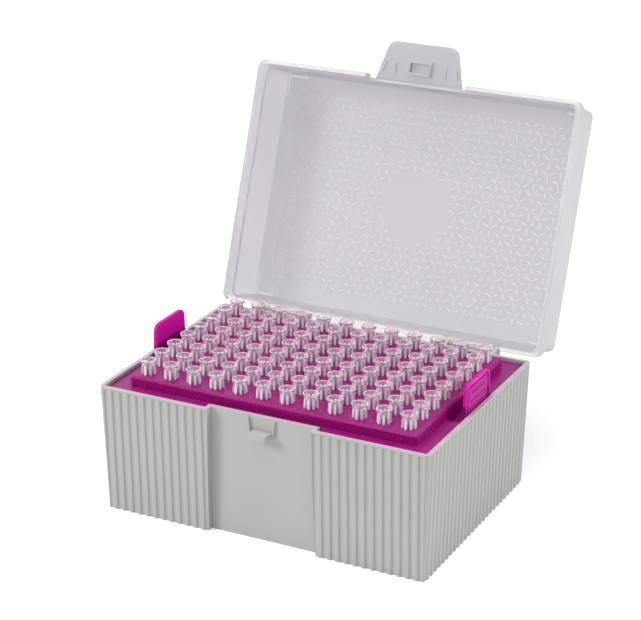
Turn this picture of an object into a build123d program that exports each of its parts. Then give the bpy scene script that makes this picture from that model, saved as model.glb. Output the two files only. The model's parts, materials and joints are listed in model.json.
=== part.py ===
"""Hinged box of pipette tips: base box, tip plate, 96 tips, lid and latch.

Millimetres, +Z up.  The origin is the middle of the base's underside, the
front with the latch faces -Y and the hinge is at the back, towards +Y.  The
lid is shown open, leaning back on its hinge.
"""
import os
from math import atan2, cos, degrees, pi, radians, sin, tan

from build123d import *

os.makedirs("parts", exist_ok=True)

# Grid of tips
column_count = 12
row_count = 8
pitch = 9.0

# Tip
tip_sides = 6
tip_rim_radius = 2.85
tip_collar_radius = 2.55
tip_neck_radius = 1.95
tip_end_radius = 0.45
tip_bore_radius = 2.2
tip_bore_end_radius = 0.25
tip_head_height = 4.95
tip_cone_length = 26.5

# Base box
end_margin = 12.8
side_margin = 12.5
base_height = 46.7
base_wall = 1.5
base_floor = 1.5
base_draft = 1.5
base_corner = 1.8
rim_band = 0.7
reed_pitch = 3.2
reed_depth = 0.5
reed_crest = 1.0
reed_flank = 0.6
reed_setback = 0.05
reed_corner = 1.3
recess_width = 38.8
recess_depth = 2.8
rib_width = 1.5
rib_depth = 2.5
long_rib_steps = (3, 5)
short_rib_steps = (2, 3)

# Catch on the recessed front panel
hook_top_drop = 5.3
hook_height = 2.0
hook_reach = 3.6
hook_tip_width = 6.8
hook_root_width = 8.3
hook_root_depth = 1.3
hook_corner = 0.8
gusset_top_drop = 0.7
gusset_width = 0.5
gusset_reach = 0.7
gusset_top_spacing = 10.0
gusset_low_spacing = 8.6

# Tip plate
plate_gap = 0.25
plate_drop = 1.1
plate_thickness = 1.6
deck_rise = 3.75
deck_margin = 5.0
deck_corner = 1.5
deck_edge = 0.7
hole_gap = 0.15

# Finger tabs at both ends of the tip plate
finger_gap = 4.8
finger_slot_width = 27.0
tab_thickness = 1.2
tab_low_width = 20.6
tab_top_width = 19.4
tab_rise = 11.7
tab_corner = 3.0
tab_web_drop = 2.3
tab_web_thickness = 1.2
tab_border = 0.7
tab_field_depth = 0.45

# Lid, with its sizes as they are when it is shut
lid_gap = 0.4
lid_seat_gap = 0.15
skirt_wall = 1.6
skirt_overlap = 3.3
skirt_height = 5.0
skirt_corner = 3.4
shoulder = 1.3
lid_wall = 1.3
lid_panel = 1.3
lid_depth = 22.0
lid_draft = 1.7
lid_corner = 3.2
lid_edge = 2.0
lid_open_angle = 110.3
back_skirt_overlap = 2.2
mark_length = 8.2
mark_width = 0.8
mark_height = 0.5
mark_inset = 0.3

# Latch tab, folding on a film along the lid's front
crease_setback = 1.8
film_gap = 0.3
latch_slot_width = 40.0
latch_root_width = 34.4
latch_end_width = 26.6
latch_length = 14.9
latch_thickness = 1.4
latch_corner = 3.6
pocket_width = 7.4
pocket_start = 4.1
pocket_length = 3.5
pocket_depth = 0.9
pocket_frame = 0.9
pocket_frame_height = 1.2
grip_start = 3.3
grip_length = 4.0
grip_width = 0.8
grip_height = 0.5
grip_spacing = 20.0
side_grip_inset = 1.0

# Hinge
axis_reach = 3.3
axis_drop = 1.5
pin_radius = 1.2
pin_gap = 0.08
knuckle_radius = 2.2
knuckle_middle = 37.6
knuckle_length = 21.0
bracket_width = 2.0
bracket_depth = 8.0
bracket_gap = 0.3
clip_mouth = 1.9
rail_radius = 1.6

# Sizes that follow from those above
base_length = (column_count - 1) * pitch + 2 * end_margin
base_width = (row_count - 1) * pitch + 2 * side_margin
half_length = base_length / 2
half_width = base_width / 2
plate_top = base_height - plate_drop
plate_bottom = plate_top - plate_thickness
deck_top = plate_top + deck_rise
deck_length = (column_count - 1) * pitch + 2 * deck_margin
deck_width = (row_count - 1) * pitch + 2 * deck_margin
recess_front = -half_width + recess_depth
axis_y = half_width + axis_reach
axis_z = base_height - axis_drop


def lean(height):
    """Distance that a drafted base wall stands in from its place at the rim."""
    return (base_height - height) * tan(radians(base_draft))


def base_plan(inset, corner=0):
    """Draw the base's plan, moved in by an inset, with the recess in its front."""
    length = base_length - 2 * inset
    width = base_width - 2 * inset
    if corner > 0:
        RectangleRounded(length, width, corner)
    else:
        Rectangle(length, width)
    with Locations((0, -half_width)):
        Rectangle(recess_width + 2 * inset, 2 * (recess_depth + inset), mode=Mode.SUBTRACT)


def flute_points(start, end):
    """Outline of what is cut from a wall between two places to leave upright reeds."""
    count = round((end - start) / reed_pitch)
    period = (end - start) / count
    crest = reed_setback
    trough = reed_setback + reed_depth
    points = [(start, -reed_pitch), (start, crest)]
    for index in range(count):
        left = start + index * period + reed_crest / 2
        right = left + period - reed_crest
        points += [
            (left, crest),
            (left + reed_flank, trough),
            (right - reed_flank, trough),
            (right, crest),
        ]
    points += [(end, crest), (end, -reed_pitch)]
    return points


# Walls that carry reeds: which way they face, how far out they stand, and the reeds' run
left_end = reed_corner - half_length
right_end = half_length - reed_corner
side_end = half_width - reed_corner
reeded_walls = [
    (Vector(0, -1, 0), half_width, left_end, -recess_width / 2),
    (Vector(0, -1, 0), half_width, recess_width / 2, right_end),
    (Vector(1, 0, 0), half_length, -side_end, side_end),
    (Vector(0, 1, 0), half_width, left_end, right_end),
    (Vector(-1, 0, 0), half_length, -side_end, side_end),
]

# Walls that carry ribs: the plane of a rib's side, how far out the wall stands, and places
long_places = [side * steps * pitch for side in (-1, 1) for steps in long_rib_steps]
short_places = [side * steps * pitch for side in (-1, 1) for steps in short_rib_steps]
rib_walls = [
    (Plane.YZ, half_width, long_places),
    (Plane(origin=(0, 0, 0), x_dir=(1, 0, 0), z_dir=(0, -1, 0)), half_length, short_places),
]

# Room inside the base, with the same draft as its walls
rim_plane = Plane.XY.offset(base_height)
with BuildPart() as hollow:
    with BuildSketch(Plane.XY.offset(base_floor)):
        base_plan(base_wall)
    extrude(amount=base_height - base_floor)
    draft(hollow.faces().filter_by(Axis.Z, reverse=True), rim_plane, -base_draft)

# Base box: one moulding with reeded walls, a plain rim, the catch and the hinge pins
with BuildPart() as base_box:
    with BuildSketch():
        base_plan(0)
    extrude(amount=base_height - rim_band)
    draft(base_box.faces().filter_by(Axis.Z, reverse=True), rim_plane, -base_draft)
    corners = base_box.edges().sort_by_distance((0, 0, base_height / 2))[-4:]
    fillet(corners, base_corner)
    for outward, reach, start, end in reeded_walls:
        wall_up = outward * sin(radians(base_draft)) + Vector(0, 0, cos(radians(base_draft)))
        wall_plane = Plane(
            origin=outward * reach + Vector(0, 0, base_height),
            x_dir=Vector(0, 0, 1).cross(outward),
            z_dir=wall_up,
        )
        with BuildSketch(wall_plane):
            with BuildLine():
                Polyline(*flute_points(start, end), close=True)
            make_face()
        extrude(amount=-base_height - base_wall, mode=Mode.SUBTRACT)
    with BuildSketch(Plane.XY.offset(base_height - rim_band)):
        base_plan(0, base_corner)
    extrude(amount=rim_band)
    add(hollow.part, mode=Mode.SUBTRACT)

    # Ribs inside, leaning with the walls, for the tip plate to stand on
    for axis_plane, reach, places in rib_walls:
        for side in (-1, 1):
            for place in places:
                with BuildSketch(axis_plane.offset(place - rib_width / 2)):
                    with BuildLine():
                        Polyline(
                            *[
                                (side * (reach - lean(height) - base_wall + step), height)
                                for height, step in (
                                    (base_floor / 2, -rib_depth),
                                    (plate_bottom, -rib_depth),
                                    (plate_bottom, base_wall / 2),
                                    (base_floor / 2, base_wall / 2),
                                )
                            ],
                            close=True,
                        )
                    make_face()
                extrude(amount=rib_width)

    # Catch: a hook between two leaning gussets
    hook_top = base_height - hook_top_drop
    hook_root = recess_front + base_wall / 2
    hook_tip = recess_front - hook_reach
    with BuildSketch(Plane.XY.offset(hook_top - hook_height)) as hook:
        with BuildLine():
            hook_side = recess_front - hook_root_depth
            right = [
                (hook_root_width / 2, hook_root),
                (hook_root_width / 2, recess_front),
                (hook_tip_width / 2, hook_side),
                (hook_tip_width / 2, hook_tip),
            ]
            left = [(-x, y) for x, y in reversed(right)]
            Polyline(*right, *left, close=True)
        make_face()
        fillet(hook.vertices().group_by(Axis.Y)[0], hook_corner)
    extrude(amount=hook_height)
    gusset_top = base_height - gusset_top_drop
    with BuildSketch(Plane.XZ.offset(-hook_root)):
        for side in (-1, 1):
            top_x = side * gusset_top_spacing / 2
            low_x = side * gusset_low_spacing / 2
            half = gusset_width / 2
            with BuildLine():
                Polyline(
                    (top_x - half, gusset_top),
                    (top_x + half, gusset_top),
                    (low_x + half, hook_top - hook_height / 2),
                    (low_x - half, hook_top - hook_height / 2),
                    close=True,
                )
            make_face()
    extrude(amount=gusset_reach + base_wall / 2)

    # Hinge: two pins, each held between a pair of brackets
    for side in (-1, 1):
        for end in (-1, 1):
            bracket_x = side * knuckle_middle + end * (knuckle_length - bracket_width) / 2
            with BuildSketch(Plane.YZ.offset(bracket_x)):
                with Locations((axis_y, axis_z)):
                    Circle(knuckle_radius)
                with BuildLine():
                    Polyline(
                        (half_width - base_wall / 2, base_height - lid_seat_gap),
                        (axis_y, base_height - lid_seat_gap),
                        (axis_y, axis_z - knuckle_radius),
                        (half_width - base_wall, base_height - bracket_depth),
                        close=True,
                    )
                make_face()
            extrude(amount=bracket_width / 2, both=True)
        with BuildSketch(Plane.YZ.offset(side * knuckle_middle)):
            with Locations((axis_y, axis_z)):
                Circle(pin_radius)
        extrude(amount=knuckle_length / 2, both=True)
base_box.part.label = "base_box"
export_step(base_box.part, "parts/base_box.step")

# Tip plate: a raised deck with a hole for each tip, and a springy tab at each end
hole_radius = tip_neck_radius + hole_gap
with BuildPart() as tip_plate:
    with BuildSketch(Plane.XY.offset(plate_bottom)):
        base_plan(base_wall + plate_gap, base_corner)
        finger_x = (deck_length / 2 + half_length) / 2
        with Locations((-finger_x, 0), (finger_x, 0)):
            Rectangle(half_length - deck_length / 2, finger_slot_width, mode=Mode.SUBTRACT)
    extrude(amount=plate_thickness)
    with BuildSketch(Plane.XY.offset(plate_bottom)):
        RectangleRounded(deck_length, deck_width, deck_corner)
    extrude(amount=deck_top - plate_bottom)
    chamfer(tip_plate.faces().sort_by(Axis.Z)[-1].edges(), deck_edge)
    with BuildSketch(Plane.XY.offset(plate_bottom)):
        inside = 2 * plate_thickness
        Rectangle(deck_length - inside, deck_width - inside)
    extrude(amount=deck_rise, mode=Mode.SUBTRACT)
    with BuildSketch(Plane.XY.offset(plate_bottom)):
        with GridLocations(pitch, pitch, column_count, row_count):
            RegularPolygon(hole_radius, tip_sides, major_radius=False)
    extrude(amount=deck_top - plate_bottom, mode=Mode.SUBTRACT)
    web_bottom = plate_bottom - tab_web_drop
    tab_top = plate_top + tab_rise
    tab_inside = deck_length / 2 + finger_gap
    for side in (-1, 1):
        with BuildSketch(Plane.YZ.offset(side * tab_inside)) as tab:
            with BuildLine():
                Polyline(
                    (-tab_low_width / 2, web_bottom),
                    (tab_low_width / 2, web_bottom),
                    (tab_low_width / 2, plate_top),
                    (tab_top_width / 2, tab_top),
                    (-tab_top_width / 2, tab_top),
                    (-tab_low_width / 2, plate_top),
                    close=True,
                )
            make_face()
            fillet(tab.vertices().group_by(Axis.Y)[-1], tab_corner)
        extrude(amount=side * tab_thickness)
        with BuildSketch(Plane.XZ.offset(-tab_low_width / 2)):
            with BuildLine():
                wall_x = side * (deck_length / 2 - plate_thickness)
                Polyline(
                    (wall_x, plate_top),
                    (side * deck_length / 2, plate_top),
                    (side * deck_length / 2, web_bottom + tab_web_thickness),
                    (side * tab_inside, web_bottom + tab_web_thickness),
                    (side * tab_inside, web_bottom),
                    (wall_x, web_bottom),
                    close=True,
                )
            make_face()
        extrude(amount=tab_low_width)
        with BuildSketch(Plane.YZ.offset(side * (tab_inside + tab_thickness))) as field:
            with BuildLine():
                Polyline(
                    (tab_border - tab_low_width / 2, plate_top),
                    (tab_low_width / 2 - tab_border, plate_top),
                    (tab_top_width / 2 - tab_border, tab_top - tab_border),
                    (tab_border - tab_top_width / 2, tab_top - tab_border),
                    close=True,
                )
            make_face()
            fillet(field.vertices().group_by(Axis.Y)[-1], tab_corner - tab_border)
        extrude(amount=-side * tab_field_depth, mode=Mode.SUBTRACT)
tip_plate.part.label = "tip_plate"
export_step(tip_plate.part, "parts/tip_plate.step")

def side_angle(change, length):
    """Slope of a tip's flat sides, for a change of its corner radius over a length."""
    return degrees(atan2(change * cos(pi / tip_sides), length))


# One tip, standing on its rim: a tapered tube with a wider head that ends in a collar
tip_length = tip_head_height + tip_cone_length
with BuildPart() as tip:
    with BuildSketch():
        RegularPolygon(tip_rim_radius, tip_sides)
    extrude(
        amount=tip_head_height,
        taper=side_angle(tip_rim_radius - tip_collar_radius, tip_head_height),
    )
    with BuildSketch(Plane.XY.offset(tip_head_height)):
        RegularPolygon(tip_neck_radius, tip_sides)
    extrude(
        amount=tip_cone_length,
        taper=side_angle(tip_neck_radius - tip_end_radius, tip_cone_length),
    )
    with BuildSketch():
        RegularPolygon(tip_bore_radius, tip_sides)
    extrude(
        amount=tip_length,
        taper=side_angle(tip_bore_radius - tip_bore_end_radius, tip_length),
        mode=Mode.SUBTRACT,
    )

# The tips, turned over so that the collars stand on the deck, one node for each column
tip_top = deck_top + tip_head_height
for column in range(column_count):
    column_x = (column - (column_count - 1) / 2) * pitch
    with BuildPart() as tips:
        with Locations((column_x, 0, tip_top)):
            with GridLocations(pitch, pitch, 1, row_count):
                add(tip.part, rotation=(180, 0, 0))
    name = f"tips_column_{column + 1:02d}"
    tips.part.label = name
    export_step(tips.part, f"parts/{name}.step")

# The lid's own plane: its XY is level with the base's when the lid is shut
turn_cos = cos(radians(lid_open_angle))
turn_sin = sin(radians(lid_open_angle))
lid_plane = Plane(
    origin=(
        0,
        axis_y - axis_y * turn_cos - axis_z * turn_sin,
        axis_z + axis_y * turn_sin - axis_z * turn_cos,
    ),
    x_dir=(1, 0, 0),
    z_dir=(0, turn_sin, turn_cos),
)

# Lid: one moulding with a skirt round the base's rim, a shoulder and a flat panel
lid_up = Axis(lid_plane.origin, lid_plane.z_dir)
skirt_bottom = base_height - skirt_overlap
skirt_top = skirt_bottom + skirt_height
seat = base_height + lid_seat_gap
lid_top = skirt_bottom + lid_depth
skirt_length = base_length + 2 * (lid_gap + skirt_wall)
skirt_width = base_width + 2 * (lid_gap + skirt_wall)
lid_length = skirt_length - 2 * shoulder
lid_width = skirt_width - 2 * shoulder
inner_length = lid_length - 2 * lid_wall
inner_width = lid_width - 2 * lid_wall
inner_rise = lid_top - lid_panel - seat
inner_lean = inner_rise * tan(radians(lid_draft))
crease_y = crease_setback - skirt_width / 2
clip_length = knuckle_length - 2 * (bracket_width + bracket_gap)
bracket_places = [
    side * knuckle_middle + end * (knuckle_length - bracket_width) / 2
    for side in (-1, 1)
    for end in (-1, 1)
]
inward = {-1: Align.MIN, 1: Align.MAX}
with BuildPart() as lid:
    with BuildSketch(lid_plane.offset(skirt_bottom)):
        RectangleRounded(skirt_length, skirt_width, skirt_corner)
    extrude(amount=skirt_height)
    with BuildSketch(lid_plane.offset(skirt_top)):
        RectangleRounded(lid_length, lid_width, lid_corner)
    extrude(amount=lid_top - skirt_top, taper=lid_draft)
    fillet(lid.faces().sort_by(lid_up)[-1].edges(), lid_edge)

    # Inside: the skirt's recess, then the room above the ledge that rests on the rim
    with BuildSketch(lid_plane.offset(skirt_bottom)):
        RectangleRounded(
            base_length + 2 * lid_gap,
            base_width + 2 * lid_gap,
            skirt_corner - skirt_wall,
        )
    extrude(amount=seat - skirt_bottom, mode=Mode.SUBTRACT)
    with BuildSketch(lid_plane.offset(seat)):
        RectangleRounded(inner_length, inner_width, lid_corner - lid_wall)
    extrude(amount=inner_rise, taper=lid_draft, mode=Mode.SUBTRACT)
    mark_x = inner_length / 2 - inner_lean - mark_inset
    mark_y = inner_width / 2 - inner_lean - mark_inset
    with BuildSketch(lid_plane.offset(lid_top - lid_panel)):
        for side_x in (-1, 1):
            for side_y in (-1, 1):
                with Locations((side_x * mark_x, side_y * mark_y)):
                    corner = (inward[side_x], inward[side_y])
                    Rectangle(mark_length, mark_width, align=corner)
                    Rectangle(mark_width, mark_length, align=corner)
    extrude(amount=-mark_height)

    # Front: the slot in the skirt for the latch
    with BuildSketch(lid_plane.offset(skirt_bottom)):
        with Locations((0, crease_y)):
            Rectangle(latch_slot_width, crease_setback, align=(Align.CENTER, Align.MAX))
    extrude(amount=skirt_height, mode=Mode.SUBTRACT)

    # Back: the skirt cut short to clear the base as it turns, and slotted for the brackets
    with BuildSketch(lid_plane.offset(skirt_bottom)):
        with Locations((0, skirt_width / 2)):
            Rectangle(base_length, skirt_corner, align=(Align.CENTER, Align.MAX))
    extrude(amount=skirt_overlap - back_skirt_overlap, mode=Mode.SUBTRACT)
    with BuildSketch(lid_plane.offset(skirt_bottom)):
        with Locations(*[(x, skirt_width / 2) for x in bracket_places]):
            Rectangle(
                bracket_width + 2 * bracket_gap,
                skirt_wall + lid_gap,
                align=(Align.CENTER, Align.MAX),
            )
    extrude(amount=axis_z + knuckle_radius - skirt_bottom, mode=Mode.SUBTRACT)

    # Hinge: a split ring on each pin
    for side in (-1, 1):
        clip_plane = Plane(
            origin=lid_plane.from_local_coords((side * knuckle_middle, 0, 0)),
            x_dir=lid_plane.y_dir,
            z_dir=(1, 0, 0),
        )
        with BuildSketch(clip_plane):
            with Locations((axis_y, axis_z)):
                Circle(knuckle_radius)
        extrude(amount=clip_length / 2, both=True)
        with BuildSketch(clip_plane):
            with Locations((axis_y, axis_z)):
                Circle(pin_radius + pin_gap)
                Rectangle(clip_mouth, 2 * knuckle_radius, align=(Align.CENTER, Align.MAX))
        extrude(amount=clip_length / 2, both=True, mode=Mode.SUBTRACT)

    # Between the rings: a rail along the axis, which covers the gap behind the base's rim
    web_y = (skirt_width - skirt_wall) / 2
    with BuildSketch(Plane(lid_plane.origin, x_dir=lid_plane.y_dir, z_dir=(1, 0, 0))):
        with Locations((axis_y, axis_z)):
            Circle(rail_radius)
        with BuildLine():
            Polyline(
                (web_y, base_height - back_skirt_overlap),
                (axis_y, axis_z - rail_radius),
                (axis_y + rail_radius, axis_z),
                (web_y, skirt_top),
                close=True,
            )
        make_face()
    extrude(amount=knuckle_middle - knuckle_length / 2 - bracket_gap, both=True)
lid.part.label = "lid"
export_step(lid.part, "parts/lid.step")


def latch_half(distance):
    """Half the latch's width at a distance from its crease."""
    narrowing = (latch_root_width - latch_end_width) / 2
    return latch_root_width / 2 - narrowing * distance / latch_length


# Latch tab: a plate with a framed pocket for the hook, unfolded in line with the ledge
frame_width = pocket_width + 2 * pocket_frame
frame_length = pocket_length + 2 * pocket_frame
with BuildPart() as latch_tab:
    with BuildSketch(lid_plane.offset(seat)) as plate:
        with BuildLine():
            Polyline(
                (-latch_half(film_gap), crease_y - film_gap),
                (latch_half(film_gap), crease_y - film_gap),
                (latch_half(latch_length), crease_y - latch_length),
                (-latch_half(latch_length), crease_y - latch_length),
                close=True,
            )
        make_face()
        fillet(plate.vertices().group_by(Axis.Y)[0], latch_corner)
    extrude(amount=latch_thickness)
    with BuildSketch(lid_plane.offset(seat)):
        with Locations((0, crease_y - pocket_start + pocket_frame)):
            Rectangle(frame_width, frame_length, align=(Align.CENTER, Align.MAX))
    extrude(amount=-pocket_frame_height)
    with BuildSketch(lid_plane.offset(seat + pocket_depth)):
        with Locations((0, crease_y - pocket_start)):
            Rectangle(pocket_width, pocket_length, align=(Align.CENTER, Align.MAX))
    extrude(amount=-pocket_depth - pocket_frame_height, mode=Mode.SUBTRACT)
    with BuildSketch(lid_plane.offset(seat)):
        for side in (-1, 1):
            with Locations((side * grip_spacing / 2, crease_y - grip_start)):
                Rectangle(grip_width, grip_length, align=(Align.CENTER, Align.MAX))
            with BuildLine():
                near_x = latch_half(grip_start) - side_grip_inset
                far_x = latch_half(grip_start + grip_length) - side_grip_inset
                Polyline(
                    (side * near_x, crease_y - grip_start),
                    (side * far_x, crease_y - grip_start - grip_length),
                    (side * (far_x - grip_width), crease_y - grip_start - grip_length),
                    (side * (near_x - grip_width), crease_y - grip_start),
                    close=True,
                )
            make_face()
    extrude(amount=-grip_height)
latch_tab.part.label = "latch_tab"
export_step(latch_tab.part, "parts/latch_tab.step")
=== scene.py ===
# %% [markdown]
# # A hinged box of pipette tips
#
# A laboratory box of tips is five kinds of moulding. A grey base box has reeded
# walls. A magenta plate drops into it and holds 96 clear tips. A clear, lightly
# frosted lid snaps onto two pins at the back, and a small latch folds on a thin
# film at the lid's front edge.
#
# The hard parts were drawn as solids in another tool. This lesson dresses them:
# it gives each one a plastic that looks like its own, and models what is too
# fine or too round for the solids, such as the tips, the relief on the lid and
# the grip marks on the finger tabs.

# %% Load the frame that everything is placed by
import json
from math import cos, degrees, pi, radians, sin

import bmesh
import bpy
from mathutils import Matrix, Vector


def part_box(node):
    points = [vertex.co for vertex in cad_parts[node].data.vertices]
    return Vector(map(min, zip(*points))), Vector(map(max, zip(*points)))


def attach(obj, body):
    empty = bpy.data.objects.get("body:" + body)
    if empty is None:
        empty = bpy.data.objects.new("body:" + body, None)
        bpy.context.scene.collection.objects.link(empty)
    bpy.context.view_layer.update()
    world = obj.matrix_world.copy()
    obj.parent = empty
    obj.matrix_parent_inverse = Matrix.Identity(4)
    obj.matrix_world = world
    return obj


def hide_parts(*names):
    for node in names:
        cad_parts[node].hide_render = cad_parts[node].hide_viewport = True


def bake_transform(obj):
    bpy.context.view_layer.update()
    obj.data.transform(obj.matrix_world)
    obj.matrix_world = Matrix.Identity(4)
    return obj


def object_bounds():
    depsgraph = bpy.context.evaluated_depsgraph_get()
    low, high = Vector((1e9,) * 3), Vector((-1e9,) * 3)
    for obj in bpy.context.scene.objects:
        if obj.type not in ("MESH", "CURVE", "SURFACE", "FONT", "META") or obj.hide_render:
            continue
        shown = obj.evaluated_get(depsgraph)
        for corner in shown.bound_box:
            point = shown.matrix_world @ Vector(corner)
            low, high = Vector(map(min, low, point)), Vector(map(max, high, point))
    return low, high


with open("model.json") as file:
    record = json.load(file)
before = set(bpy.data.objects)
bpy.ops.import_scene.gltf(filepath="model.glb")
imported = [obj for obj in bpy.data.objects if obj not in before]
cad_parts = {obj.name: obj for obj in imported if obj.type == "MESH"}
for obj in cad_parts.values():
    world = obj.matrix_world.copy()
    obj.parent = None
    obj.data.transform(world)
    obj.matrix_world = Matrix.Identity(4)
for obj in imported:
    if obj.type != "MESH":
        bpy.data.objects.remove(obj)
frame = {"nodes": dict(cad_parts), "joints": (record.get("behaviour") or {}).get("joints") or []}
cad_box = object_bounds()
mm = 0.001
print("nodes:", sorted(frame["nodes"]))
print("box in mm:", [[round(c / mm, 1) for c in corner] for corner in cad_box])

# %% [markdown]
# ## The camera
#
# A catalogue view shows two sides and the inside. The camera stands to the right
# of the front and a little above, and a long lens keeps the upright edges nearly
# parallel. Its place is worked out from two angles and a distance, so that it
# turns round the box instead of being moved along three axes.

# %% Place the camera
camera_turn = radians(26.93)
camera_rise = radians(21.62)
camera_distance = 743.65 * mm
camera_target = Vector((-1.5 * mm, 5.0 * mm, 68.4 * mm))
away = Vector((
    sin(camera_turn) * cos(camera_rise),
    -cos(camera_turn) * cos(camera_rise),
    sin(camera_rise),
))
camera_data = bpy.data.cameras.new("catalogue_camera")
camera_data.sensor_width = 36  # in mm, as the lens is
camera_data.lens = 120.3
camera = bpy.data.objects.new("catalogue_camera", camera_data)
camera.location = camera_target + away * camera_distance
camera.rotation_euler = away.to_track_quat("Z", "Y").to_euler()
bpy.context.scene.collection.objects.link(camera)
bpy.context.scene.camera = camera
bpy.context.scene.view_settings.view_transform = "Standard"
print("camera at", [round(c, 3) for c in camera.location])

# %% [markdown]
# ## Colours and nodes
#
# Colours are written as the eye reads them on a screen, in hex. Blender's shaders
# add up light, which needs linear values, so one function turns hex to linear.
# Materials are built from nodes, and one function adds a node with its settings
# and its links, so that each material below reads as a list of what it is made of.

# %% Helpers for colours and nodes
def linear(hex_colour):
    """Turn an sRGB hex colour into linear RGBA, with the sRGB standard's own numbers."""
    values = [int(hex_colour[i:i + 2], 16) / 255 for i in (1, 3, 5)]
    rgb = [v / 12.92 if v <= 0.04045 else ((v + 0.055) / 1.055) ** 2.4 for v in values]
    return rgb + [1]


def add_node(tree, kind, settings=None, links=None):
    """Add a node, give its sockets and properties their settings, and link its inputs."""
    node = tree.nodes.new(kind)
    for name, value in (settings or {}).items():
        if isinstance(name, int) or name in node.inputs:
            node.inputs[name].default_value = value
        else:
            setattr(node, name, value)
    for name, source in (links or {}).items():
        tree.links.new(source, node.inputs[name])
    return node


print("mid grey in linear:", round(linear("#808080")[0], 3))

# %% [markdown]
# ## White surroundings
#
# A studio sweep is white card, lit so evenly that it has no edge. The world plays
# the far part of it. It is plain white to the camera and to the rays that gloss
# and clear plastic send on, and dimmer as a light, so it doesn't wash the object
# out. A function finds those rays, because the floor needs it too.

# %% Surround the box with white
surroundings_light = 0.36


def seen_directly(tree):
    """1 for rays from the camera, and for those that gloss and clear plastic send on."""
    path = add_node(tree, "ShaderNodeLightPath")
    either = add_node(
        tree,
        "ShaderNodeMath",
        {"operation": "MAXIMUM"},
        {0: path.outputs["Is Camera Ray"], 1: path.outputs["Is Transmission Ray"]},
    )
    return add_node(
        tree,
        "ShaderNodeMath",
        {"operation": "MAXIMUM"},
        {0: either.outputs[0], 1: path.outputs["Is Glossy Ray"]},
    ).outputs[0]


world = bpy.data.worlds.new("white_studio")
world.use_nodes = True
bpy.context.scene.world = world
sky = world.node_tree
sky.nodes.clear()
strength = add_node(
    sky,
    "ShaderNodeMapRange",
    {"To Min": surroundings_light, "To Max": 1.0},
    {"Value": seen_directly(sky)},
)
glow = add_node(
    sky,
    "ShaderNodeBackground",
    {"Color": linear("#FFFFFF")},
    {"Strength": strength.outputs[0]},
)
add_node(sky, "ShaderNodeOutputWorld", links={"Surface": glow.outputs[0]})
print("surroundings: white to look at,", surroundings_light, "as a light")

# %% [markdown]
# ## A white floor
#
# The floor is matt white card, large enough that its edge is never seen. Under
# plain lamps card looks light grey, so this one gives off a little light of its
# own, again only to the rays that look at it. It reads white, and the soft shadow
# where the box stands still shows.

# %% Lay the floor
floor_glow = 0.3
floor_size = 6.0
card = bpy.data.materials.new("white_card")
card.use_nodes = True
paper = card.node_tree.nodes["Principled BSDF"]
paper.inputs["Base Color"].default_value = linear("#F4F4F4")
paper.inputs["Roughness"].default_value = 0.9
paper.inputs["Specular IOR Level"].default_value = 0.0
paper.inputs["Emission Color"].default_value = linear("#FFFFFF")
own_light = add_node(
    card.node_tree,
    "ShaderNodeMapRange",
    {"To Min": 0.0, "To Max": floor_glow},
    {"Value": seen_directly(card.node_tree)},
)
card.node_tree.links.new(own_light.outputs[0], paper.inputs["Emission Strength"])

sheet = bmesh.new()
bmesh.ops.create_grid(sheet, x_segments=1, y_segments=1, size=floor_size / 2)
bmesh.ops.translate(sheet, vec=(0, 0, cad_box[0].z), verts=sheet.verts)
floor_mesh = bpy.data.meshes.new("floor")
sheet.to_mesh(floor_mesh)
sheet.free()
floor_mesh.materials.append(card)
floor = bpy.data.objects.new("floor", floor_mesh)
bpy.context.scene.collection.objects.link(floor)
print("floor at height", round(cad_box[0].z / mm, 2), "mm")

# %% [markdown]
# ## Soft boxes
#
# A soft box is a lamp behind a square of white cloth. A large one overhead gives
# the even light. The key stands at the left of the front, which makes the front
# lighter than the end and lets each reed and the hook throw a soft shadow to the
# right. A weaker one at the right, a little to the back, fills that shadow, and
# both side boxes put the small bright dots on the tips' rims.

# %% Hang the soft boxes
middle = (cad_box[0] + cad_box[1]) / 2
soft_boxes = [  # name, place in metres, side in metres, power in watts
    ("overhead", (0.0, -0.1, 1.4), 1.0, 10.0),
    ("key", (-1.1, -0.8, 0.8), 0.4, 12.5),
    ("fill", (1.1, 0.35, 0.6), 0.4, 5.5),
]
for name, place, size, power in soft_boxes:
    lamp = bpy.data.lights.new(f"soft_box_{name}", "AREA")
    lamp.shape = "SQUARE"
    lamp.size = size
    lamp.energy = power
    hung = bpy.data.objects.new(f"soft_box_{name}", lamp)
    hung.location = place
    hung.rotation_euler = (Vector(place) - middle).to_track_quat("Z", "Y").to_euler()
    bpy.context.scene.collection.objects.link(hung)
print("soft boxes:", len(soft_boxes))

# %% [markdown]
# ## Moulded plastics
#
# All the parts are polypropylene, whose index of refraction is about 1.49. What
# differs is the pigment and the mould's surface. A mould that was spark-eroded
# leaves a fine even grain that spreads the highlight; a polished one leaves a
# gloss with a slight ripple where the plastic shrank. So each plastic below is
# made of the same three things: a colour that drifts slightly over centimetres,
# a roughness that varies with the grain, and a bump of the grain's own size.
#
# Eroded grain is about 0.1 mm in reality, too fine to show from a step away, so
# it is drawn at 0.4 to 0.6 mm. The ripple of the polished ones is drawn at 0.6 to
# 0.8 mm, which is near its real size.

# %% A function for moulded polypropylene
polypropylene_ior = 1.49
colour_drift = 30 * mm


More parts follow.
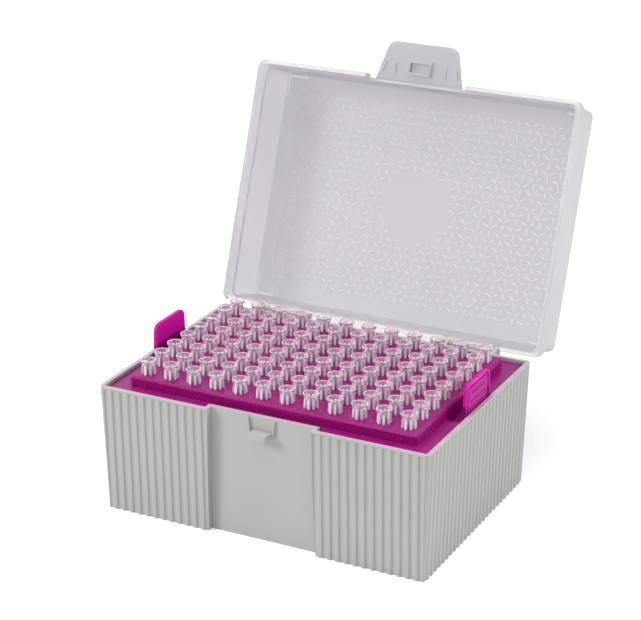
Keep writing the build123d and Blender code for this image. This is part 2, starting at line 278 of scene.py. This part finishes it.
def moulded_plastic(name, deep, pale, roughness, grain, grain_depth, sockets=None):
    """Polypropylene with a drifting colour and the mould's grain, sizes in metres.

    The colour goes from deep to pale, and roughness is the grain's least and most.
    What is the same all over is in sockets, and is set on the shader itself.
    """
    material = bpy.data.materials.new(name)
    material.use_nodes = True
    tree = material.node_tree
    shader = tree.nodes["Principled BSDF"]
    shader.inputs["IOR"].default_value = polypropylene_ior
    for socket, value in (sockets or {}).items():
        shader.inputs[socket].default_value = value
    place = add_node(tree, "ShaderNodeTexCoord").outputs["Object"]
    clouds = add_node(
        tree,
        "ShaderNodeTexNoise",
        {"Scale": 1 / colour_drift, "Detail": 3.0, "Roughness": 0.6},
        {"Vector": place},
    )
    colour = add_node(  # a Mix node takes colours in at sockets 6 and 7, and gives one at 2
        tree,
        "ShaderNodeMix",
        {"data_type": "RGBA", 6: linear(deep), 7: linear(pale)},
        {0: clouds.outputs["Fac"]},
    )
    tree.links.new(colour.outputs[2], shader.inputs["Base Color"])
    grains = add_node(
        tree,
        "ShaderNodeTexNoise",
        {"Scale": 1 / grain, "Detail": 2.0},
        {"Vector": place},
    )
    matt = add_node(
        tree,
        "ShaderNodeMapRange",
        {"To Min": roughness[0], "To Max": roughness[1]},
        {"Value": grains.outputs["Fac"]},
    )
    tree.links.new(matt.outputs[0], shader.inputs["Roughness"])
    bump = add_node(
        tree,
        "ShaderNodeBump",
        {"Distance": grain_depth, "Strength": 1.0},
        {"Height": grains.outputs["Fac"]},
    )
    tree.links.new(bump.outputs["Normal"], shader.inputs["Normal"])
    return material


def paint(node, material):
    """Give a solid's own mesh a material."""
    for slot in frame["nodes"][node].material_slots:
        slot.material = material
    print(node, "is", material.name)


print("polypropylene bends light by", polypropylene_ior)

# %% [markdown]
# ## The grey base
#
# The base is filled polypropylene, pigmented light grey and moulded in a
# spark-eroded tool, so it has a satin look with no sharp reflections, and the
# grain shows as a faint unevenness.

# %% Paint the base
grey_plastic = moulded_plastic(
    "grey_filled_polypropylene",
    "#B3B4B1",
    "#B9BAB7",
    roughness=(0.42, 0.52),
    grain=0.5 * mm,
    grain_depth=0.012 * mm,
)
paint("base_box", grey_plastic)

# %% [markdown]
# ## The magenta plate
#
# The plate is thin, strongly pigmented polypropylene with a soft sheen. Some
# light passes through the deck into the dark box and doesn't come back, so the
# colour is deep there. The finger tabs stand clear of the box, with light on both
# sides, and keep their full colour. So the share of light that passes is set by
# the height: high up to the deck, and nothing above it. Subsurface scattering
# softens what stays inside, and red travels furthest in a magenta pigment.

# %% Paint the plate
magenta_plastic = moulded_plastic(
    "magenta_polypropylene",
    "#C8149E",
    "#D01CA6",
    roughness=(0.22, 0.3),
    grain=0.6 * mm,
    grain_depth=0.006 * mm,
    sockets={
        "Specular IOR Level": 0.05,
        "Subsurface Weight": 1.0,
        "Subsurface Radius": (1.0, 0.1, 0.7),
        "Subsurface Scale": 2.0 * mm,
    },
)
column_low, column_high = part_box("tips_column_01")
head_height = 4.95 * mm  # how far a tip's lip stands above the deck
deck_top = column_high.z - head_height
deck_light = 0.6
deck_fade = 1 * mm
tree = magenta_plastic.node_tree
place = add_node(tree, "ShaderNodeTexCoord").outputs["Object"]
height = add_node(tree, "ShaderNodeSeparateXYZ", links={"Vector": place}).outputs["Z"]
thinness = add_node(
    tree,
    "ShaderNodeMapRange",
    {
        "From Min": deck_top,
        "From Max": deck_top + deck_fade,
        "To Min": deck_light,
        "To Max": 0.0,
    },
    {"Value": height},
)
shader = tree.nodes["Principled BSDF"]
tree.links.new(thinness.outputs[0], shader.inputs["Transmission Weight"])
paint("tip_plate", magenta_plastic)

# %% [markdown]
# ## The frosted lid
#
# The lid is unpigmented polypropylene. It passes light but isn't clear like
# glass: the plastic itself is milky, and the mould's grain scatters what goes
# through. Part of the light goes straight through with a rough transmission, and
# the rest is spread inside, as in a pale body, by a few millimetres.

# %% Paint the lid
milky = {
    "Subsurface Weight": 1.0,
    "Subsurface Radius": (1.0, 1.0, 1.0),
    "Subsurface Scale": 3.0 * mm,
}
lid_plastic = moulded_plastic(
    "frosted_polypropylene",
    "#F2EFF4",
    "#F7F4F9",
    roughness=(0.34, 0.42),
    grain=0.6 * mm,
    grain_depth=0.01 * mm,
    sockets={**milky, "Transmission Weight": 0.7},
)
paint("lid", lid_plastic)

# %% [markdown]
# ## The latch, the strokes and the film
#
# The latch is the lid's own plastic, but it stands alone in the light, so the
# same mix would almost vanish before the white. Its colour is painted a shade
# greyer, as painted shade, and a little less light passes through it, so it reads
# as a flat tab.
#
# The strokes on the lid's panel and the film at the latch come from polished
# places in the mould and catch the light. They lie on clear plastic with no air
# between, where a see-through skin would trap the light and turn dark, so their
# plastic is mixed opaque, pale and a little glossy.

# %% Paint the latch and mix the polished plastic
# the latch's colour is greyer than the lid's: painted shade
latch_plastic_painted_shade = moulded_plastic(
    "frosted_polypropylene_latch_painted_shade",
    "#C6C3CA",
    "#CBC8CF",
    roughness=(0.34, 0.42),
    grain=0.4 * mm,
    grain_depth=0.008 * mm,
    sockets={**milky, "Transmission Weight": 0.6},
)
paint("latch_tab", latch_plastic_painted_shade)
polished_plastic = moulded_plastic(
    "polished_polypropylene",
    "#ECEAEE",
    "#F0EEF2",
    roughness=(0.2, 0.28),
    grain=0.6 * mm,
    grain_depth=0.004 * mm,
)
print("for strokes and film:", polished_plastic.name)

# %% [markdown]
# ## The clear tips
#
# Tips are moulded from clear polypropylene with a polished core, so that liquid
# runs out of them. The wall is thin enough to look like glass. The lip and the
# legs are thicker, and thick polypropylene cools slowly and turns milky, so they
# show as whitish lines round a clear body. That takes two mixes of one plastic.

# %% Mix the tips' two plastics
# Both tip plastics have a faint pink: painted reflection of the magenta plate.
thin_tip_plastic = moulded_plastic(
    "clear_polypropylene_thin",
    "#F8ECF6",
    "#FCF2FA",
    roughness=(0.04, 0.1),
    grain=0.8 * mm,
    grain_depth=0.003 * mm,
    sockets={"Transmission Weight": 0.85},
)
thick_tip_plastic = moulded_plastic(
    "clear_polypropylene_thick",
    "#FAEEF8",
    "#FEF4FC",
    roughness=(0.05, 0.12),
    grain=0.8 * mm,
    grain_depth=0.003 * mm,
    sockets={"Transmission Weight": 0.05},
)
print("tip plastics:", thin_tip_plastic.name, "and", thick_tip_plastic.name)

# %% [markdown]
# ## The same mesh on every run
#
# Spinning and extruding leave their faces in an order that can change from run to
# run. The shape is the same, but a file of it isn't. Each face has its own set of
# corners, so sorting by the corners' numbers gives one order.

# %% A function that sorts a mesh's faces
def corner_number(face):
    """A face's corners as one number, for meshes of fewer than 1000 vertices."""
    number = 0
    for index in sorted(vert.index for vert in face.verts):
        number = number * 1000 + index
    return number


def sort_faces(bm):
    """Put a small mesh's faces in the order of their corners."""
    bm.verts.index_update()
    bm.faces.sort(key=corner_number)


print("faces are sorted after a spin or an extrusion")

# %% [markdown]
# ## A tip
#
# A tip is a long tapered tube. Its mouth has a rounded lip and flares like a
# funnel, and eight ribs below it stand on the deck as legs round the tip's hole.
# The tube is a turned shape, so its outline is drawn once as a closed loop of
# radii and heights and spun round the axis. Each leg is a small block sunk into
# the tube's wall, with its top leaning in under the funnel. The mesh is used 96
# times, so it has no more faces than its round edges need.

# %% Draw the tip's outline
# Each point is a radius and a height above the deck in mm. The line goes from the
# mouth's inner edge over the lip, down the outside and back up the bore.
tip_outline = [
    (2.28, 4.78),
    (2.42, 4.92),
    (2.64, 4.95),
    (2.81, 4.83),
    (2.85, 4.58),
    (2.76, 4.22),
    (2.45, 3.50),
    (2.28, 3.05),
    (2.18, 1.60),
    (1.95, 0.00),
    (1.90, -0.60),
    (1.20, -13.0),
    (0.45, -26.5),
    (0.25, -26.5),
    (0.70, -13.0),
    (1.50, -1.0),
    (1.70, 1.40),
    (1.95, 2.60),
    (2.08, 3.50),
]
rim_radius = (column_high.x - column_low.x) / 2
widest = max(radius for radius, height in tip_outline)
print("rim radius", round(rim_radius / mm, 2), "mm in the solids,", widest, "mm drawn")

# %% Spin the tip and stand its legs round it
tip_turns = 24
merge_distance = 0.001 * mm
lip_start = 4.9 * mm
leg_count = 8
leg_reach = 2.58 * mm
leg_root = 1.75 * mm
leg_width = 0.8 * mm
leg_height = 3.6 * mm
leg_lean = 0.3 * mm


def spun_tip():
    """One tip on the Z axis, the deck at height 0, with lip and legs in slot 1."""
    tip = bmesh.new()
    ring = [tip.verts.new((radius * mm, 0, height * mm)) for radius, height in tip_outline]
    edges = [tip.edges.new((a, b)) for a, b in zip(ring, ring[1:] + ring[:1])]
    bmesh.ops.spin(
        tip,
        geom=ring + edges,
        cent=(0, 0, 0),
        axis=(0, 0, 1),
        angle=2 * pi,
        steps=tip_turns,
        use_merge=True,
    )
    bmesh.ops.remove_doubles(tip, verts=tip.verts, dist=merge_distance)
    sort_faces(tip)
    bmesh.ops.recalc_face_normals(tip, faces=tip.faces)
    for face in tip.faces:
        face.material_index = int(face.calc_center_median().z > lip_start)
    for index in range(leg_count):
        place = Matrix.Translation(((leg_reach + leg_root) / 2, 0, leg_height / 2))
        size = Matrix.Diagonal((leg_reach - leg_root, leg_width, leg_height, 1))
        leg = bmesh.ops.create_cube(tip, size=1, matrix=place @ size)["verts"]
        top = [vert for vert in leg if vert.co.z > leg_height / 2]
        bmesh.ops.translate(tip, vec=(-leg_lean, 0, 0), verts=top)
        turn = Matrix.Rotation(2 * pi * index / leg_count, 4, "Z")
        bmesh.ops.transform(tip, matrix=turn, verts=leg)
        for face in {face for vert in leg for face in vert.link_faces}:
            face.material_index = 1
    return tip


tip_mesh = bpy.data.meshes.new("one_tip")
one_tip = spun_tip()
one_tip.to_mesh(tip_mesh)
one_tip.free()
print("faces in a tip:", len(tip_mesh.polygons))

# %% [markdown]
# ## From a mesh to a piece
#
# Every piece ends the same way. Its faces are shaded smooth, except across edges
# that are sharp on the real moulding. Then it gets its plastics, its place in the
# scene and the body that it moves with. A piece that bends between two bodies is
# given no body here.

# %% A function that finishes a piece
sharp_angle = radians(40)


def finish_piece(bm, name, materials, body):
    """Turn a bmesh into a piece that rides on a body, smooth but sharp at its edges."""
    mesh = bpy.data.meshes.new(name)
    bm.to_mesh(mesh)
    bm.free()
    for face in mesh.polygons:
        face.use_smooth = True
    mesh.set_sharp_from_angle(angle=sharp_angle)
    for material in materials:
        mesh.materials.append(material)
    piece = bpy.data.objects.new(name, mesh)
    bpy.context.scene.collection.objects.link(piece)
    if body:
        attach(piece, body)
    return piece


print("edges sharper than", round(degrees(sharp_angle)), "degrees stay crisp")

# %% [markdown]
# ## Ninety-six tips
#
# The tips stand in twelve columns of eight. Each column is one piece, because
# that is how the solids are split. Tips drop into their holes by hand or by
# machine and come to rest at any angle, so each one is turned by its own amount
# about its axis. The golden angle spreads the turns evenly and never repeats.
#
# The spacing is measured from a column's box. The rims of the solids have six
# sides with a flat to the front, so there they reach only cos 30 of their radius.

# %% Fill the columns
column_names = sorted(name for name in frame["nodes"] if name.startswith("tips_column"))
tips_per_column = 8
golden_turn = radians(137.5)
for column, name in enumerate(column_names):
    low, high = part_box(name)
    step = (high.y - low.y - 2 * rim_radius * cos(pi / 6)) / (tips_per_column - 1)
    bm = bmesh.new()
    for row in range(tips_per_column):
        place = Vector((
            (low.x + high.x) / 2,
            (low.y + high.y) / 2 + (row - (tips_per_column - 1) / 2) * step,
            high.z - head_height,
        ))
        before = len(bm.verts)
        bm.from_mesh(tip_mesh)
        bm.verts.ensure_lookup_table()
        turn = Matrix.Rotation(golden_turn * (column * tips_per_column + row), 4, "Z")
        bmesh.ops.transform(
            bm, matrix=Matrix.Translation(place) @ turn, verts=bm.verts[before:]
        )
    plastics = [thin_tip_plastic, thick_tip_plastic]
    row_name = name.replace("column", "row")
    column_of_tips = finish_piece(bm, row_name, plastics, "base")
    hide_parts(name)
print("columns:", len(column_names), "spacing", round(step / mm, 2), "mm")

# %% [markdown]
# ## The lid's own frame
#
# The lid stands open, so its flat panel is tilted in space. It is easier to draw
# on the panel with the lid shut, when it is level. The hinge joint gives the
# axis and the angle between open and shut, and one matrix carries what is drawn
# on the shut lid to where the open lid is.

# %% Measure the lid as if it were shut
hinge = next(joint for joint in frame["joints"] if joint["name"] == "lid_hinge")
hinge_place = Vector(hinge["pos_m"])
open_angle = radians(hinge["range_deg"][1])
opening = (
    Matrix.Translation(hinge_place)
    @ Matrix.Rotation(-open_angle, 4, "X")
    @ Matrix.Translation(-hinge_place)
)
closing = opening.inverted()
shut_lid = [closing @ vert.co for vert in frame["nodes"]["lid"].data.vertices]
lid_top = max(point.z for point in shut_lid)
panel_thickness = 1.3 * mm
panel_inside = lid_top - panel_thickness
print("shut lid's top", round(lid_top / mm, 2), "mm")
print("its panel's inner face", round(panel_inside / mm, 2), "mm")

# %% [markdown]
# ## Painted shade on the panel
#
# The lid's walls should read lighter than its panel, so the panel's colour is
# painted a shade greyer: this is painted shade, not a denser plastic. The
# distance from the panel, measured along its normal, is one dot product, and it
# fades the painted shade out within 0.6 mm, so the marks raised from the panel
# and the walls round it keep the lid's own pale colour.

# %% Paint shade on the panel
inward = opening.to_3x3() @ Vector((0, 0, -1))
panel_distance = inward.dot(opening @ Vector((0, 0, panel_inside)))
# painted shade: the grey that the panel's colour is mixed towards
panel_painted_shade = "#CFCCD1"
painted_shade_fade = 0.6 * mm
tree = lid_plastic.node_tree
along = add_node(
    tree,
    "ShaderNodeVectorMath",
    {"operation": "DOT_PRODUCT", 1: inward},
    {0: add_node(tree, "ShaderNodeTexCoord").outputs["Object"]},
)
clear_of_painted_shade = add_node(
    tree,
    "ShaderNodeMapRange",
    {"From Min": panel_distance, "From Max": panel_distance + painted_shade_fade},
    {"Value": along.outputs["Value"]},
)
shader = tree.nodes["Principled BSDF"]
wall_colour = shader.inputs["Base Color"].links[0].from_socket
# the lid's own colour, with painted shade mixed in on the panel
painted_shade_mix = add_node(
    tree,
    "ShaderNodeMix",
    {"data_type": "RGBA", 6: linear(panel_painted_shade)},
    {0: clear_of_painted_shade.outputs[0], 7: wall_colour},
)
tree.links.new(painted_shade_mix.outputs[2], shader.inputs["Base Color"])
print("panel's normal", [round(part, 3) for part in inward])

# %% [markdown]
# ## The relief inside the lid
#
# A wide flat panel of thin plastic shows every scratch and warp. Toolmakers cut a
# pattern into the mould to hide both, here short raised strokes in three
# directions, 60 degrees apart, in staggered rows. One stroke is drawn as a bar
# with rounded ends a fraction of a millimetre high, narrower at its top, and
# copied along each row. Strokes that would lie in the middle, which is kept
# plain, or beyond the field's edge are left out.

# %% Draw one stroke
stroke_length = 2.3 * mm
stroke_width = 0.75 * mm
stroke_height = 0.15 * mm
stroke_sink = 0.05 * mm
stroke_sides = 8
stroke_taper = (0.9, 0.6, 1)
one_stroke = bmesh.new()
bmesh.ops.create_circle(
    one_stroke,
    cap_ends=True,
    segments=stroke_sides,
    radius=stroke_width / 2,
    matrix=Matrix.Rotation(pi / stroke_sides, 4, "Z"),
)
for right in (True, False):
    half = [vert for vert in one_stroke.verts if (vert.co.x > 0) == right]
    shift = (stroke_length - stroke_width) / 2 * (1 if right else -1)
    bmesh.ops.translate(one_stroke, vec=(shift, 0, 0), verts=half)
bmesh.ops.translate(one_stroke, vec=(0, 0, stroke_sink), verts=one_stroke.verts)
grown = bmesh.ops.extrude_face_region(
    one_stroke, geom=one_stroke.faces[:], use_keep_orig=True
)
lower = [item for item in grown["geom"] if isinstance(item, bmesh.types.BMVert)]
bmesh.ops.translate(one_stroke, vec=(0, 0, -stroke_height - stroke_sink), verts=lower)
bmesh.ops.scale(one_stroke, vec=stroke_taper, verts=lower)
sort_faces(one_stroke)
bmesh.ops.recalc_face_normals(one_stroke, faces=one_stroke.faces)
stroke_mesh = bpy.data.meshes.new("one_stroke")
one_stroke.to_mesh(stroke_mesh)
one_stroke.free()
print("faces in a stroke:", len(stroke_mesh.polygons))

# %% Fill the panel with strokes
stroke_angles = [radians(90), radians(30), radians(-30)]
stroke_pitch = 9.5 / 3 * mm  # one stroke of each direction in 9.5 mm
row_pitch = 2.77 * mm
row_count = 27
first_row = -36.1 * mm
row_starts = [-50.6 * mm, -55.4 * mm]  # of even rows and of odd ones
stroke_numbers = range(-3, 40)  # enough to cross the field from either start
field_reach = 55.5 * mm
plain_middle = Vector((-0.8 * mm, 0.5 * mm))
plain_radius = 13.8 * mm

relief = bmesh.new()
for row in range(row_count):
    y = first_row + row * row_pitch
    for number in stroke_numbers:
        x = row_starts[row % 2] + number * stroke_pitch
        near_middle = (Vector((x, y)) - plain_middle).length < plain_radius
        if abs(x) > field_reach or near_middle:
            continue
        turn = Matrix.Rotation(stroke_angles[number % 3], 4, "Z")
        place = opening @ Matrix.Translation((x, y, panel_inside)) @ turn
        stroke_mesh.transform(place)
        relief.from_mesh(stroke_mesh)
        stroke_mesh.transform(place.inverted())
print("strokes:", len(relief.faces) // len(stroke_mesh.polygons))
finish_piece(relief, "lid_relief", [polished_plastic], "lid")

# %% [markdown]
# ## The film between the lid and the latch
#
# Lid and latch are one moulding. Along the crease the plastic is only about a
# third of a millimetre thick, and bends thousands of times without breaking:
# a living hinge. The solids leave a narrow gap there, because rigid bodies can't
# bend. The film is a thin strip across that gap, cut into short lengths so that
# it can curve.

# %% Bridge the crease with a film
fold = next(joint for joint in frame["joints"] if joint["name"] == "latch_fold")
crease = closing @ Vector(fold["pos_m"])
film_width = 34.0 * mm
film_overlap = 0.5 * mm
film_gap = 0.3 * mm
film_thickness = 0.35 * mm
film_lift = 0.1 * mm
film_cuts = 6
film_length = film_gap + 2 * film_overlap
film = bmesh.new()
bmesh.ops.create_cube(film, size=1)
bmesh.ops.scale(film, vec=(film_width, film_length, film_thickness), verts=film.verts)
crossing = [
    edge
    for edge in film.edges
    if abs(edge.verts[0].co.y - edge.verts[1].co.y) > film_gap
]
bmesh.ops.subdivide_edges(film, edges=crossing, cuts=film_cuts, use_grid_fill=True)
bmesh.ops.translate(
    film,
    vec=(0, crease.y - film_gap / 2, crease.z + film_thickness / 2 + film_lift),
    verts=film.verts,
)
bmesh.ops.transform(film, matrix=opening, verts=film.verts)
bmesh.ops.recalc_face_normals(film, faces=film.faces)
latch_film = finish_piece(film, "latch_film", [polished_plastic], None)
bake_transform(latch_film)
print("film", round(film_width / mm, 1), "mm wide across", round(film_gap / mm, 2), "mm")

# %% [markdown]
# ## The grips on the finger tabs
#
# The outer face of each tab has a raised border, and inside it a slightly raised
# field with rows of small pits, so that a gloved finger doesn't slip. The field
# is a sheet divided into cells; chosen cells are inset and pushed in to make the
# pits. Insetting first keeps a flat rim round each pit. Each row has one pit more
# than the row above it, so the pits of neighbouring rows stand between each other.

# %% Lay out the grip fields
plate_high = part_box("tip_plate")[1]
tab_outside = plate_high.x
tab_top = plate_high.z
field_depth = 0.45 * mm
grip_thickness = 0.3 * mm
grip_sink = 0.05 * mm
grip_low = 46.5 * mm
grip_high = tab_top - 1.8 * mm
cells_across = 17
cells_up = 10
cell_width = 0.95 * mm
cell_height = (grip_high - grip_low) / cells_up
pits_in_row = {7: 6, 4: 7, 1: 8}  # the row's cell, counted from below, and its pits
pit_depth = 0.25 * mm
pit_rim = 0.06 * mm
grip_edge = 0.12 * mm
field_width = cell_width * cells_across
print("grip field", round(field_width / mm, 1), "mm wide")


# %% Press the pits into a grip field
def grip_field(side):
    """A sheet with staggered pits, in its place on the outer face of one tab."""
    bm = bmesh.new()
    # A grid reaches size to each side, so this one is 1 by 1 before it is scaled.
    bmesh.ops.create_grid(bm, x_segments=cells_across, y_segments=cells_up, size=0.5)
    size = (field_width, cell_height * cells_up, 1)
    bmesh.ops.scale(bm, vec=size, verts=bm.verts)
    rim = [edge for edge in bm.edges if edge.is_boundary]
    pits = []
    for face in bm.faces:
        middle = face.calc_center_median()
        across = round(middle.x / cell_width)
        up = round(middle.y / cell_height + (cells_up - 1) / 2)
        count = pits_in_row.get(up, 0)
        if abs(across) < count and (across + count) % 2 == 1:
            pits.append(face)
    bmesh.ops.inset_individual(bm, faces=pits, thickness=pit_rim, depth=-pit_depth)
    grown = bmesh.ops.extrude_edge_only(bm, edges=rim)["geom"]
    low = [item for item in grown if isinstance(item, bmesh.types.BMVert)]
    back = [item for item in grown if isinstance(item, bmesh.types.BMEdge)]
    bmesh.ops.translate(bm, vec=(0, 0, -grip_thickness), verts=low)
    back = [edge for edge in back if edge.is_boundary]
    bmesh.ops.contextual_create(bm, geom=back)
    bmesh.ops.bevel(
        bm,
        geom=rim,
        offset=grip_edge,
        segments=2,
        profile=0.5,
        affect="EDGES",
        material=-1,
    )
    bmesh.ops.recalc_face_normals(bm, faces=bm.faces)
    # The sheet's own right goes along the tab, its top goes up and its face outwards.
    upright = Matrix(((0, 0, side, 0), (side, 0, 0, 0), (0, 1, 0, 0), (0, 0, 0, 1)))
    place = Vector((
        side * (tab_outside - field_depth - grip_sink + grip_thickness),
        0,
        (grip_low + grip_high) / 2,
    ))
    bmesh.ops.transform(bm, matrix=Matrix.Translation(place) @ upright, verts=bm.verts)
    return bm


print("pits in each grip field:", sum(pits_in_row.values()))

# %% [markdown]
# ## The grips' plastic
#
# The grip fields are the plate's own magenta from a rougher place in the mould,
# so they shine less and look a shade duller than the tab. They lie on the tab
# with no air between, so this mix is opaque too.

# %% Put a grip on each tab
grip_plastic = moulded_plastic(
    "magenta_polypropylene_grip",
    "#B5208C",
    "#BC2894",
    roughness=(0.3, 0.4),
    grain=0.6 * mm,
    grain_depth=0.006 * mm,
    sockets={"Specular IOR Level": 0.05},
)
for side, name in ((-1, "left"), (1, "right")):
    field = grip_field(side)
    finish_piece(field, f"grip_{name}", [grip_plastic], "base")
print("grips are", grip_plastic.name)
